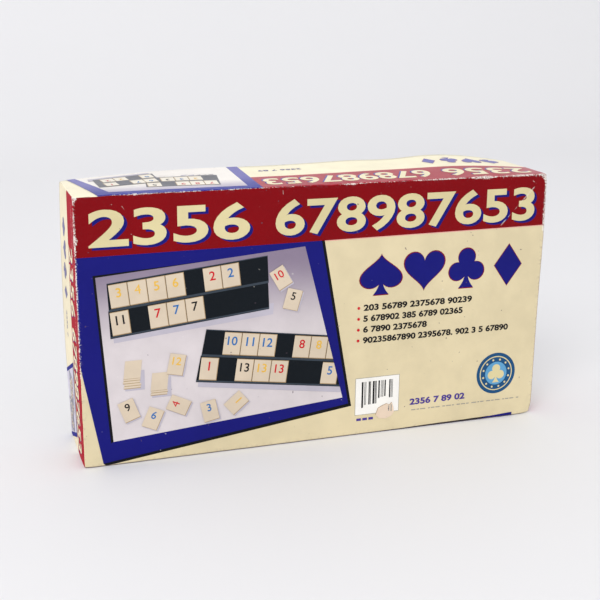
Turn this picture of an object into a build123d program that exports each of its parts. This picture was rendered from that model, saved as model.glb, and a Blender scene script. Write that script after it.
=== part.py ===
from build123d import *
import os
from math import radians, tan

# A rummy tile case: a telescoping paperboard box that stands on one long wall,
# with a vacuum-formed insert for four two-tier racks, eight rack holders,
# 106 tiles and a rule booklet. The insert is one formed sheet, drawn as its
# platform and its four wells, which meet at the wells' mouths. Millimetres, +Z
# up. The printed front faces -Y, the length runs along X, and the origin is the
# middle of the underside.
# The case is sized round what it holds, so every outside size follows from
# the sizes below.

# Clearances
seat = 0.3              # between a loose piece and what carries it
lid_gap = 0.6           # between the lid's walls and the tray's walls, each side
rim_gap = 0.6           # between the tray's open rim and the lid's panel
hole_gap = 0.05         # round a staple leg

# Paperboard lid and base tray
board = 1.0
fold_radius = 1.4       # folds round the lid's front panel
corner_radius = 1.8     # upright corners of the lid
tray_corner_radius = 0.8
tray_reveal = 2.5       # the tray stands this far out of the lid at the back
end_bow = 1.5           # the lid's end walls spring out at their open rim
wall_bow = [(0.20, 3.6), (0.55, 5.2), (0.86, 7.0)]   # long wall's rim: share of length, rise
wall_bow_ends = (0.05, -0.22)                        # its slopes at the two corners

# Tiles
tile_width = 23.4
tile_height = 34.0
tile_thickness = 4.4
tile_corner = 1.6       # chamfer of the four corners
tile_air = 0.05         # between stacked tiles
tiles_per_run = 13
joker_count = 2
tile_colours = ["red", "blue", "yellow", "black"]
runs_per_colour = 2

# Racks
rack_width = 63.0
rack_wall = 2.0
rack_floor = 2.0
tier_pitch = 30.0       # from the lower ledge to the upper one
lip_height = 9.0
lip_thickness = 1.6
tile_slack = 0.8        # between a tile and the walls of its channel
row_slack = 1.0         # at the end of a full row
end_plate = 4.0
rib_thickness = 2.0
rib_count = 5
lip_round = 0.7

# Rack holders
holder_length = 43.5
holder_height = 34.0
holder_thickness = 14.0
holder_toe = 15.0       # height of the front toe
holder_toe_length = 12.0
holder_crest = 8.0      # length of the flat top of the rear strut
holder_rake = 6.5       # the rear strut leans in by this much
holder_heel = 12.0
holder_round = 1.5
holder_sole = 3.0       # material under the slot's lowest corner
rack_lean = 30.0        # degrees from the upright
plate_slack = 0.6       # between the slot and the rack's end plate
holders_per_pile = 4
pile_count = 2

# Booklet
booklet_width = 176.0
booklet_height = 126.0
booklet_thickness = 1.6
cover_sheet = 0.3
page_margin = 1.0
page_air = 0.1          # between the cover and the pages
booklet_offset = -62.0  # of its centre from the middle of the case
staple_wire = 0.6
staple_width = 12.0
staple_leg = 1.5        # how far a leg goes into the pages
staple_spacing = 70.0

# Insert
sheet = 0.8
draft = 2.0             # degrees
land = 3.8              # flat between two wells, and between a well and the edge
well_radius = 0.8
insert_radius = 5.0
scoop_radius = 13.0
scoop_depth = 20.0
foot_depth = 6.3        # the skirt stands this far past the trough

# Sizes that follow
channel = tile_thickness + tile_slack
rack_thickness = 2 * rack_wall + 2 * channel + lip_thickness
rack_length = tiles_per_run * tile_width + row_slack + 2 * end_plate
stack_depth = tiles_per_run * (tile_thickness + tile_air) - tile_air
stack_count = runs_per_colour * len(tile_colours) + 1
stack_pitch = tile_width + seat
pile_pitch = holder_length + seat
pile_depth = holders_per_pile * (holder_thickness + seat) - seat

trough_depth = max(stack_depth, pile_depth) + 2 * seat
rack_well_depth = 2 * rack_thickness + 3 * seat
trough_flare = trough_depth * tan(radians(draft))
rack_well_flare = rack_well_depth * tan(radians(draft))
insert_depth = trough_depth + sheet + foot_depth
insert_flare = insert_depth * tan(radians(draft))

trough_height = max(tile_height, holder_height) + 2 * seat
stack_well_length = stack_count * stack_pitch + seat
pile_well_length = pile_count * pile_pitch + seat
trough_length = stack_well_length + pile_well_length + land + 4 * trough_flare
rack_well_length = rack_length + 2 * seat
rack_well_height = rack_width + 2 * seat

mouth_length = max(rack_well_length + 2 * rack_well_flare + 2 * scoop_radius, trough_length)
mouth_height = 2 * (rack_well_height + 2 * rack_well_flare) + trough_height + 2 * trough_flare
insert_length = mouth_length + 2 * land
insert_height = mouth_height + 4 * land

tray_inner_length = insert_length + 2 * insert_flare + 2 * seat
tray_inner_height = insert_height + 2 * insert_flare + 2 * seat
tray_length = tray_inner_length + 2 * board
tray_height = tray_inner_height + 2 * board
lid_inner_length = tray_length + 2 * lid_gap
lid_inner_height = tray_height + 2 * lid_gap
case_length = lid_inner_length + 2 * board
case_height = lid_inner_height + 2 * board
case_depth = 2 * board + booklet_thickness + 3 * seat + insert_depth

# Places along Y, from the printed front to the back
front = -case_depth / 2
lid_back_of_panel = front + board
insert_front = lid_back_of_panel + booklet_thickness + 2 * seat
insert_rim = insert_front + insert_depth
tray_panel = case_depth / 2 - board
tray_rim = lid_back_of_panel + rim_gap
lid_rim = case_depth / 2 - tray_reveal

# Places along X
stack_well_centre = -trough_length / 2 + trough_flare + stack_well_length / 2
pile_well_centre = trough_length / 2 - trough_flare - pile_well_length / 2

# Places along Z
middle = case_height / 2
rack_well_offset = (trough_height + rack_well_height) / 2 + trough_flare + land + rack_well_flare
rack_levels = {"lower": middle - rack_well_offset, "upper": middle + rack_well_offset}
tray_floor = 2 * board + lid_gap      # upper side of the tray's lower wall


def facing(y):
    """The plane across the case at y, seen from the front: its axes are X and Z."""
    return Plane(origin=(0, y, 0), x_dir=(1, 0, 0), z_dir=(0, -1, 0))


def block(x_size, z_size, y_front, y_back, at=(0, 0), radius=0.0, flare=0.0):
    """A block between two depths, larger by flare all round at y_front."""
    def section(y, extra):
        if radius:
            shape = RectangleRounded(x_size + 2 * extra, z_size + 2 * extra, radius)
        else:
            shape = Rectangle(x_size + 2 * extra, z_size + 2 * extra)
        return facing(y) * Pos(*at) * shape

    return loft([section(y_front, flare), section(y_back, 0.0)], ruled=True)


def lid_section(y, length, height, bottom, radius, bow):
    """A cross-section of the lid. Its top and end edges bow out by a share of the full bow."""
    x, top = length / 2, bottom + height
    flat = x - radius
    z_low, z_high = bottom + radius, top - radius
    z_mid = (z_low + z_high) / 2
    k = radius * (1 - 0.5 ** 0.5)
    rise = [(-flat + 2 * flat * share, top + bow * lift) for share, lift in wall_bow]
    swell = end_bow * bow
    if bow:
        slopes = [(1, slope * bow) for slope in wall_bow_ends]
        top_edge = Spline((-flat, top), *rise, (flat, top), tangents=slopes)
        right_edge = ThreePointArc((x, z_high), (x + swell, z_mid), (x, z_low))
        left_edge = ThreePointArc((-x, z_low), (-x - swell, z_mid), (-x, z_high))
    else:
        top_edge = Line((-flat, top), (flat, top))
        right_edge = Line((x, z_high), (x, z_low))
        left_edge = Line((-x, z_low), (-x, z_high))
    edges = [
        top_edge,
        ThreePointArc((flat, top), (x - k, top - k), (x, z_high)),
        right_edge,
        ThreePointArc((x, z_low), (x - k, bottom + k), (flat, bottom)),
        Line((flat, bottom), (-flat, bottom)),
        ThreePointArc((-flat, bottom), (-x + k, bottom + k), (-x, z_low)),
        left_edge,
        ThreePointArc((-x, z_high), (-x + k, top - k), (-flat, top)),
    ]
    return facing(y) * make_face(edges)


def make_lid():
    """Front panel with four walls; the walls have sprung outward at their open rim."""
    outer = loft([lid_section(front, case_length, case_height, 0, corner_radius, 0),
                  lid_section(lid_rim, case_length, case_height, 0, corner_radius, 1)], ruled=True)
    share = board / (lid_rim - front)
    inner_radius = corner_radius - board
    inner = loft([lid_section(lid_back_of_panel, lid_inner_length, lid_inner_height, board,
                              inner_radius, share),
                  lid_section(lid_rim, lid_inner_length, lid_inner_height, board,
                              inner_radius, 1)], ruled=True)
    folds = outer.faces().sort_by(Axis.Y)[0].edges()
    return fillet(folds, fold_radius) - inner


def make_tray():
    """Back panel with four upright walls."""
    outer = block(tray_length, tray_height, tray_rim, case_depth / 2, (0, middle),
                  tray_corner_radius)
    hollow = block(tray_inner_length, tray_inner_height, tray_rim, tray_panel, (0, middle))
    return outer - hollow


def well_spaces(skin):
    """The spaces of the insert's wells by name, larger by skin all round."""
    spaces = {}
    for level, z in rack_levels.items():
        space = block(rack_well_length + 2 * skin, rack_well_height + 2 * skin, insert_front,
                      insert_front + rack_well_depth + skin, (0, z), well_radius + skin,
                      rack_well_flare)
        for side in (-1, 1):
            x = side * (rack_well_length / 2 + rack_well_flare)
            scoop = [facing(y) * Pos(x, z) * Circle(scoop_radius + skin - shrink)
                     for y, shrink in ((insert_front, 0),
                                       (insert_front + scoop_depth + skin,
                                        scoop_depth * tan(radians(draft))))]
            space += loft(scoop, ruled=True)
        spaces[f"racks_{level}"] = space
    for name, x, length in (("tiles", stack_well_centre, stack_well_length),
                            ("holders", pile_well_centre, pile_well_length)):
        spaces[name] = block(length + 2 * skin, trough_height + 2 * skin, insert_front,
                             insert_front + trough_depth + skin, (x, middle), well_radius + skin,
                             trough_flare)
    return spaces


def make_insert():
    """The formed insert: a platform with a drafted skirt, and the wells that hang from it."""
    def form(skin):
        return loft([facing(y) * Pos(0, middle) * RectangleRounded(
            insert_length + 2 * (grow - skin), insert_height + 2 * (grow - skin),
            insert_radius - skin)
            for y, grow in ((insert_front + skin, 0), (insert_rim, insert_flare))], ruled=True)

    hollows, outsides = well_spaces(0), well_spaces(sheet)
    flat = block(insert_length, insert_height, insert_front, insert_front + sheet, (0, middle))
    pieces = {"insert_platform": form(0) - form(sheet) - list(hollows.values())}
    for name, hollow in hollows.items():
        pieces[f"insert_well_{name}"] = outsides[name] - hollow - flat
    return pieces


def rack_profile():
    """The rack's section as (height, thickness) outlines: rear wall, step, front wall and lip."""
    back, front_wall = 0, rack_wall + channel
    lower = front_wall + rack_wall
    tip = rack_thickness - lip_thickness
    return [(0, front_wall), (0, rack_thickness), (lip_height, rack_thickness), (lip_height, tip),
            (rack_floor, tip), (rack_floor, lower), (tier_pitch + lip_height, lower),
            (tier_pitch + lip_height, front_wall), (tier_pitch + rack_floor, front_wall),
            (tier_pitch + rack_floor, rack_wall), (rack_width, rack_wall), (rack_width, back),
            (tier_pitch, back), (tier_pitch, front_wall)]


def make_rack():
    """A two-tier rack, ledges down and lips to the front, with its back lower corner at 0, 0."""
    across = Plane(origin=(0, 0, 0), x_dir=(0, 0, 1), z_dir=(1, 0, 0))

    def prism(points, x, thickness):
        outline = across.offset(x) * make_face(Polyline(*points, close=True))
        return extrude(outline, thickness / 2, both=True)

    body = prism(rack_profile(), 0, rack_length)
    long_edges = body.edges().filter_by(Axis.X)
    rims = (lip_height, tier_pitch + lip_height, rack_width)
    lips = [e for e in long_edges if min(abs(e.center().Z - z) for z in rims) < 0.01]
    body = fillet(lips, lip_round)

    lower = rack_wall + channel + rack_wall
    plate = [(0, 0), (0, rack_thickness), (lip_height, rack_thickness),
             (tier_pitch + lip_height, lower), (rack_width, rack_wall + channel / 2),
             (rack_width, 0)]
    for side in (-1, 1):
        body += prism(plate, side * (rack_length - end_plate) / 2, end_plate)
    rib = [(0, 0), (0, rack_wall + channel), (tier_pitch, rack_wall + channel), (tier_pitch, 0)]
    pitch = (rack_length - end_plate) / (rib_count + 1)
    for i in range(rib_count):
        body += prism(rib, (i + 1 - (rib_count + 1) / 2) * pitch, rib_thickness)
    return body


def make_holder():
    """A rack's foot: a wedge with a slot that takes the rack's end plate leaning back."""
    crest_back = holder_length - holder_rake
    outline = Polyline((0, 0), (holder_length, 0), (holder_length, holder_heel),
                       (crest_back, holder_height), (crest_back - holder_crest, holder_height),
                       (holder_toe_length, holder_toe), (0, holder_toe), close=True)
    body = extrude(facing(0) * make_face(outline), holder_thickness / 2, both=True)
    upright = body.edges().filter_by(Axis.Y)
    body = fillet([e for e in upright if e.center().Z > 1], holder_round)
    corner = rack_thickness * Vector(1, 0).rotate(Axis.Z, -rack_lean)
    slot = Pos(holder_toe_length / 3, holder_sole - corner.Y) * Rot(0, 0, -rack_lean) * Rectangle(
        rack_thickness + plate_slack, 2 * holder_length, align=(Align.MIN, Align.MIN))
    return body - extrude(facing(0) * slot, (end_plate + plate_slack) / 2, both=True)


def make_tile():
    """One tile with its back on the plane Y = 0 and its face to -Y."""
    outline = chamfer(Rectangle(tile_width, tile_height).vertices(), tile_corner)
    return extrude(facing(0) * outline, tile_thickness)


def make_stack(index, count):
    """The tiles of one place in the trough, faces to the front, from its floor up."""
    x = stack_well_centre + (index - (stack_count - 1) / 2) * stack_pitch
    floor = insert_front + trough_depth - seat
    tile = make_tile()
    z = middle - (trough_height - tile_height) / 2 + seat
    return Compound([Pos(x, floor - i * (tile_thickness + tile_air), z) * tile
                     for i in range(count)])


def make_pile(index):
    """One pile of holders on its side, every other one turned end for end."""
    x = pile_well_centre + (index - (pile_count - 1) / 2) * pile_pitch
    floor = insert_front + trough_depth - seat - holder_thickness / 2
    z = middle - trough_height / 2 + seat
    holder = Pos(-holder_length / 2, 0, 0) * make_holder()
    pile = []
    for i in range(holders_per_pile):
        turn = Rot(0, 0, 180) if (i + index) % 2 else Rot(0, 0, 0)
        pile.append(Pos(x, floor - i * (holder_thickness + seat), z) * turn * holder)
    return Compound(pile)


def place_rack(z_centre, layer):
    """A rack in its well; layer 0 lies on the floor of the well and layer 1 on it."""
    floor = insert_front + rack_well_depth - seat
    y = floor - layer * (rack_thickness + seat)
    return Pos(0, y, z_centre - rack_width / 2) * make_rack()


def staple_shape(gap):
    """Both staples, or with a gap the holes for their legs."""
    x = booklet_offset - booklet_width / 2
    z = tray_floor + seat + booklet_height / 2
    y = lid_back_of_panel + seat + booklet_thickness / 2
    size = staple_wire + 2 * gap
    staples = []
    for side in (-1, 1):
        centre = z + side * staple_spacing / 2
        reach = cover_sheet + page_air + staple_leg + gap
        legs = [Pos(x - hole_gap, y, centre + end * (staple_width - staple_wire) / 2)
                * Box(reach + hole_gap, size, size, align=(Align.MIN, Align.CENTER, Align.CENTER))
                for end in (-1, 1)]
        crown = Pos(x - hole_gap, y, centre) * Box(
            staple_wire, staple_wire, staple_width, align=(Align.MAX, Align.CENTER, Align.CENTER))
        staples += legs if gap else [crown + legs[0] + legs[1]]
    return Compound(staples)


def make_cover():
    """One folded sheet, its fold to the left."""
    y = lid_back_of_panel + seat
    low = tray_floor + seat
    x = booklet_offset - booklet_width / 2
    outside = Pos(x, y, low) * Box(booklet_width, booklet_thickness, booklet_height,
                                   align=(Align.MIN, Align.MIN, Align.MIN))
    outside = fillet(outside.edges().filter_by(Axis.Z).group_by(Axis.X)[0], cover_sheet)
    inside = Pos(x + cover_sheet, y + cover_sheet, low) * Box(
        booklet_width, booklet_thickness - 2 * cover_sheet, booklet_height,
        align=(Align.MIN, Align.MIN, Align.MIN))
    return outside - inside - staple_shape(hole_gap)


def make_pages():
    """The pages as one block between the leaves of the cover."""
    thickness = booklet_thickness - 2 * cover_sheet - 2 * page_air
    x = booklet_offset - booklet_width / 2 + cover_sheet + page_air
    y = lid_back_of_panel + seat + cover_sheet + page_air
    z = tray_floor + seat + page_margin
    block_size = (booklet_width - cover_sheet - page_air - page_margin, thickness,
                  booklet_height - 2 * page_margin)
    return Pos(x, y, z) * Box(*block_size, align=(Align.MIN, Align.MIN, Align.MIN)) \
        - staple_shape(hole_gap)


def export(node, shape):
    export_step(shape, f"parts/{node}.step")


os.makedirs("parts", exist_ok=True)
export("lid", make_lid())
export("base_tray", make_tray())
for node, shape in make_insert().items():
    export(node, shape)
for level, z_centre in rack_levels.items():
    for layer, name in enumerate(("inner", "outer")):
        export(f"rack_{level}_{name}", place_rack(z_centre, layer))
for pile in range(pile_count):
    export(f"rack_holders_{pile + 1}", make_pile(pile))
for place in range(stack_count - 1):
    colour = tile_colours[place // runs_per_colour]
    export(f"tiles_{colour}_{place % runs_per_colour + 1}", make_stack(place, tiles_per_run))
export("tiles_joker", make_stack(stack_count - 1, joker_count))
export("booklet_cover", make_cover())
export("booklet_pages", make_pages())
export("booklet_staples", staple_shape(0))
print(f"case {case_length:.2f} x {case_depth:.2f} x {case_height:.2f}")
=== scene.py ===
"""Looks of a rummy tile case: a worn printed lid over a plain tray, with its contents.

Shapes are laid out in millimetres in the row frame and turned into metres when a mesh is made.
A print is drawn flat on a face of the lid, in mm from that face's lower left corner as it is
read, and is then wrapped round the folds with the same function as the lid's own skin.
"""
import math

import bmesh
import bpy
import numpy as np
from mathutils import Matrix, Vector, noise


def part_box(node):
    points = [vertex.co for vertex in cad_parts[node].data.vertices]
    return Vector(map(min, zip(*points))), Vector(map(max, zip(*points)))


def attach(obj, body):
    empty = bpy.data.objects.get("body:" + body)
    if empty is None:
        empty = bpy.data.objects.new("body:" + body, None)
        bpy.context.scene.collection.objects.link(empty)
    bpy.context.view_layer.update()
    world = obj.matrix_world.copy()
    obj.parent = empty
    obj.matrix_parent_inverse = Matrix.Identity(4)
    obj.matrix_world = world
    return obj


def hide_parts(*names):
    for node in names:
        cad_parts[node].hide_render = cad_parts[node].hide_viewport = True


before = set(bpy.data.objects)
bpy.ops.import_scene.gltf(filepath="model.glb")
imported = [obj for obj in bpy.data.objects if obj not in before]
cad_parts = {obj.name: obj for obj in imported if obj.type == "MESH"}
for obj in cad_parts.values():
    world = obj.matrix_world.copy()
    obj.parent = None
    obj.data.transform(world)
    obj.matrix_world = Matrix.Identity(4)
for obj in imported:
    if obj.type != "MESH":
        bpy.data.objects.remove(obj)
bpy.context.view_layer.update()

MM = 0.001

# ----------------------------------------------------------------------------- the case


def box_mm(node):
    low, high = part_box(node)
    return low / MM, high / MM


tray_low, tray_high = box_mm("base_tray")
lid_low, lid_high = box_mm("lid")

BOARD = 1.0                       # thickness of the lid's board
WALL_OFFSET = 1.6                 # from the outside of the tray to the outside of the lid
HALF = tray_high.x + WALL_OFFSET  # half of the lid's length at its folds
TOP = tray_high.z + WALL_OFFSET   # height of the lid at its folds
FRONT, RIM = lid_low.y, lid_high.y
LENGTH, DEPTH = 2 * HALF, RIM - FRONT
FOLD = 1.4                        # outside radius of a fold
END_BOW = lid_high.x - HALF       # how far the end walls stand out at the rim


def fit_rim():
    """How far the rim of the upper wall stands up, as a polynomial of x / HALF."""
    rim = [v.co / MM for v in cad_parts["lid"].data.vertices]
    rim = [(p.x / HALF, p.z - TOP) for p in rim if p.y > RIM - 0.01 and p.z > TOP - 0.1]
    outer = [(x, z) for x, z in rim if z > max(w for u, w in rim if abs(u - x) < 0.02) - 0.3]
    ends = [(-1, 0), (1, 0)] * 20
    xs, zs = zip(*(outer + ends))
    return np.polyfit(xs, zs, 8)


RIM_RISE = fit_rim()

# Places where the lid has been knocked or has sprung: centre, push and reach
KNOCKS = [
    (Vector((HALF, FRONT, 0)), Vector((-1.1, 1.0, 1.0)), 6.0),
    (Vector((HALF, FRONT, TOP)), Vector((-0.2, 0.6, -0.3)), 5.0),
    (Vector((-HALF, FRONT, TOP)), Vector((0.3, 0.6, -0.6)), 6.0),
    (Vector((-HALF, FRONT, 0)), Vector((0.2, 0.4, 0.5)), 4.0),
    (Vector((-HALF + 14, FRONT, TOP)), Vector((0.0, 0.3, -0.5)), 7.0),
    (Vector((4, FRONT, TOP)), Vector((0.0, 0.5, -0.7)), 5.0),
    (Vector((19, FRONT, TOP)), Vector((0.0, 0.3, -0.6)), 4.0),
    (Vector((HALF - 42, FRONT, TOP)), Vector((0.0, 0.4, -0.5)), 5.0),
    (Vector((HALF, FRONT, 152)), Vector((0.9, 0.0, 0.0)), 42.0),
    (Vector((-HALF, RIM, 24)), Vector((0.8, 0.0, 0.0)), 30.0),
    (Vector((-HALF, RIM, TOP)), Vector((0.2, 0.0, -0.5)), 7.0),
    (Vector((77, RIM, TOP)), Vector((0.0, 0.0, -2.2)), 27.0),
]

FOLD_RAGGED = 0.28                # how far a fold strays from its line
noise.seed_set(5)                 # unset, noise_vector differs from run to run

# Each face of the lid: corner where its print starts, the way it reads, its upward way
FACES = {
    "front": (Vector((-HALF, FRONT, 0)), Vector((1, 0, 0)), Vector((0, 0, 1))),
    "top": (Vector((HALF, RIM, TOP)), Vector((-1, 0, 0)), Vector((0, -1, 0))),
    "bottom": (Vector((-HALF, RIM, 0)), Vector((1, 0, 0)), Vector((0, -1, 0))),
    "left": (Vector((-HALF, RIM, TOP)), Vector((0, 0, -1)), Vector((0, -1, 0))),
    "right": (Vector((HALF, RIM, 0)), Vector((0, 0, 1)), Vector((0, -1, 0))),
}
SIZES = {"front": (LENGTH, TOP), "top": (LENGTH, DEPTH), "bottom": (LENGTH, DEPTH),
         "left": (TOP, DEPTH), "right": (TOP, DEPTH)}


def fold_distance(p):
    """From a point on the lid to its nearest fold."""
    across, up, back = HALF - abs(p.x), max(min(p.z, TOP - p.z), 0), p.y - FRONT
    return sorted((across, up, back))[1]


def spring(p):
    """Moves a point of the square lid to where the sprung and knocked lid has it."""
    share = max(p.y - FRONT, 0) / DEPTH
    if p.z > TOP / 2:
        p.z += float(np.polyval(RIM_RISE, max(-1, min(1, p.x / HALF)))) * share
    if abs(p.x) > HALF - 2 * FOLD:
        swell = END_BOW * share * math.sin(math.pi * max(0, min(1, p.z / TOP)))
        p.x += math.copysign(swell, p.x)
    start = p.copy()
    for centre, push, reach in KNOCKS:
        p += push * math.exp(-((start - centre).length / reach) ** 2)
    near = math.exp(-max(fold_distance(start), 0) / 1.5)
    p += FOLD_RAGGED * near * noise.noise_vector(start * 0.22)
    return p


def wrap(face, u, v, lift):
    """The place in space of a point printed on a face, lift mm above the board."""
    corner, right, up = FACES[face]
    p = corner + u * right + v * up
    core = Vector((max(-HALF + FOLD, min(HALF - FOLD, p.x)), max(FRONT + FOLD, p.y),
                   max(FOLD, min(TOP - FOLD, p.z))))
    out = (p - core).normalized()
    return spring(core + out * (FOLD + lift)) * MM


GRID_STEP = 4.5                   # between the cuts of a face, away from its folds
GRID_NEAR = [0.35, 0.7, 1.05, 1.4, 2.0, 3.0, 4.5, 6.5, 9.0]  # from a fold


def grid_lines(length, fold_low=True):
    """Cuts across a face with a fold at its high end, and at its low end too if told."""
    low = GRID_NEAR[-1] if fold_low else 0
    high = length - GRID_NEAR[-1]
    count = max(1, round((high - low) / GRID_STEP))
    lines = [low + (high - low) * i / count for i in range(count + 1)]
    lines += GRID_NEAR[:-1] if fold_low else []
    lines += [length - d for d in GRID_NEAR[:-1]]
    return sorted(set([0.0, length] + lines))


GRID = {face: (grid_lines(w), grid_lines(h, fold_low=(face == "front")))
        for face, (w, h) in SIZES.items()}

# ----------------------------------------------------------------------------- materials


def linear(code):
    """A linear colour from a six-figure sRGB code."""
    parts = [int(code[i:i + 2], 16) / 255 for i in (0, 2, 4)]
    return tuple(c / 12.92 if c < 0.04045 else ((c + 0.055) / 1.055) ** 2.4 for c in parts) + (1,)


def shade(colour, factor):
    """A colour made darker or lighter."""
    return tuple(min(1, c * factor) for c in colour[:3]) + (1,)


class Net:
    """A node tree with one short call per node."""

    def __init__(self, tree):
        self.tree = tree

    def add(self, kind, inputs=None, **settings):
        node = self.tree.nodes.new("ShaderNode" + kind)
        for key, value in settings.items():
            setattr(node, key, value)
        for key, value in (inputs or {}).items():
            if isinstance(value, bpy.types.NodeSocket):
                self.tree.links.new(value, node.inputs[key])
            else:
                node.inputs[key].default_value = value
        return node

    def math(self, operation, a, b=0.0):
        return self.add("Math", {0: a, 1: b}, operation=operation).outputs[0]

    def times(self, a, b):
        return self.math("MULTIPLY", a, b)

    def plus(self, a, b):
        return self.math("ADD", a, b)

    def minus(self, a, b):
        return self.math("SUBTRACT", a, b)

    def vector(self, operation, a, b=(0, 0, 0), out=0):
        return self.add("VectorMath", {0: a, 1: b}, operation=operation).outputs[out]

    def scaled(self, vector, scale):
        return self.add("VectorMath", {0: vector, "Scale": scale}, operation="SCALE").outputs[0]

    def noise(self, vector, scale, detail, roughness=0.55):
        return self.add("TexNoise", {"Vector": vector, "Scale": scale, "Detail": detail,
                                     "Roughness": roughness}).outputs["Fac"]

    def ramp(self, value, low, high, to_low=0.0, to_high=1.0):
        return self.add("MapRange", {"Value": value, "From Min": low, "From Max": high,
                                     "To Min": to_low, "To Max": to_high},
                        interpolation_type="SMOOTHSTEP").outputs["Result"]

    def mix(self, factor, a, b):
        node = self.add("Mix", data_type="RGBA")
        for name, value in (("Factor", factor), ("A", a), ("B", b)):
            socket = next(s for s in node.inputs if s.name == name and s.enabled)
            if isinstance(value, bpy.types.NodeSocket):
                self.tree.links.new(value, socket)
            else:
                socket.default_value = value
        return next(s for s in node.outputs if s.enabled)

    def fade(self, gap, reach):
        """1 where a gap is nothing, falling off over reach, in mm."""
        return self.math("EXPONENT", self.math("DIVIDE", gap, -reach * MM))

    def place(self):
        return self.add("TexCoord").outputs["Object"]


# Where the print is worn, in mm. Scuffs: centre, reach. Worn lines: from, to, reach, strength.
# Scratches: from, to, width.
SCUFFS = [((-HALF, FRONT, TOP), 6), ((HALF, FRONT, TOP), 9), ((HALF, FRONT, 0), 6),
          ((-HALF, FRONT, 0), 4), ((4, FRONT, TOP), 5), ((19, FRONT, TOP), 6),
          ((HALF - 52, FRONT, TOP), 7), ((-HALF + 42, FRONT, TOP), 3),
          ((-HALF, FRONT, TOP - 30), 5), ((-HALF, RIM, TOP), 6), ((HALF, RIM, TOP), 6),
          ((-HALF, RIM, 0), 6), ((HALF, RIM, 0), 6)]
WORN_LINES = [((-HALF, FRONT, 70), (-HALF, FRONT, TOP), 2.8, 0.36),
              ((-HALF, FRONT + 9, 78), (-HALF, FRONT + 9, TOP - 6), 3.2, 0.42),
              ((-HALF, FRONT, TOP), (-HALF, RIM, TOP), 1.2, 0.25),
              ((-HALF, FRONT, TOP), (-10, FRONT, TOP), 1.1, 0.34),
              ((10, FRONT, TOP), (HALF - 60, FRONT, TOP), 1.1, 0.42),
              ((HALF - 60, FRONT, TOP), (HALF, FRONT, TOP), 2.0, 0.50),
              ((HALF, FRONT, TOP - 42), (HALF, FRONT, TOP), 2.4, 0.50),
              ((HALF, FRONT, 12), (HALF, FRONT, TOP - 42), 0.9, 0.2)]
SCRATCHES = [((HALF - 1.5, FRONT, TOP - 0.5), (HALF - 37.5, FRONT, TOP - 38), 0.2),
             ((HALF - 4, FRONT, TOP - 22), (HALF - 9, FRONT, TOP - 9), 0.2),
             ((HALF - 2, FRONT, TOP - 12), (HALF - 12, FRONT, TOP - 5), 0.2),
             ((-HALF + 33, FRONT, TOP - 8), (-HALF + 35, FRONT, TOP - 11), 0.35),
             ((-32.5, FRONT, TOP - 5.5), (-32.7, FRONT, TOP - 3), 0.4),
             ((HALF - 82, FRONT, TOP - 93), (HALF - 79, FRONT, TOP - 91), 0.4)]


def segment_gap(net, place, start, end):
    """Distance from a place to the line between two points given in mm."""
    start, end = Vector(start) * MM, Vector(end) * MM
    along = end - start
    rel = net.vector("SUBTRACT", place, tuple(start))
    share = net.math("DIVIDE", net.vector("DOT_PRODUCT", rel, tuple(along), out=1),
                     along.length_squared)
    share = net.math("MAXIMUM", net.math("MINIMUM", share, 1.0), 0.0)
    foot = net.scaled(tuple(along), share)
    return net.vector("LENGTH", net.vector("SUBTRACT", rel, foot), out=1)


def fold_gap(net, place, half, bottom, top, panel, inward):
    """Distance from a place to the nearest fold of a box that is open on one side.

    half, bottom, top and panel are where its walls and its panel are, in mm; inward is 1 where
    the box opens towards +y from its panel, and -1 where it opens towards -y.
    """
    x, y, z = net.add("SeparateXYZ", {0: place}).outputs
    across = net.minus(half * MM, net.math("ABSOLUTE", x))
    above = net.minus(z, bottom * MM)
    up = net.math("MINIMUM", above, net.minus(top * MM, z))
    up = net.math("MAXIMUM", up, 0.0)
    back = net.times(net.minus(y, panel * MM), inward)
    low, high = net.math("MINIMUM", across, up), net.math("MAXIMUM", across, up)
    return net.math("MAXIMUM", low, net.math("MINIMUM", high, back))


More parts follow.
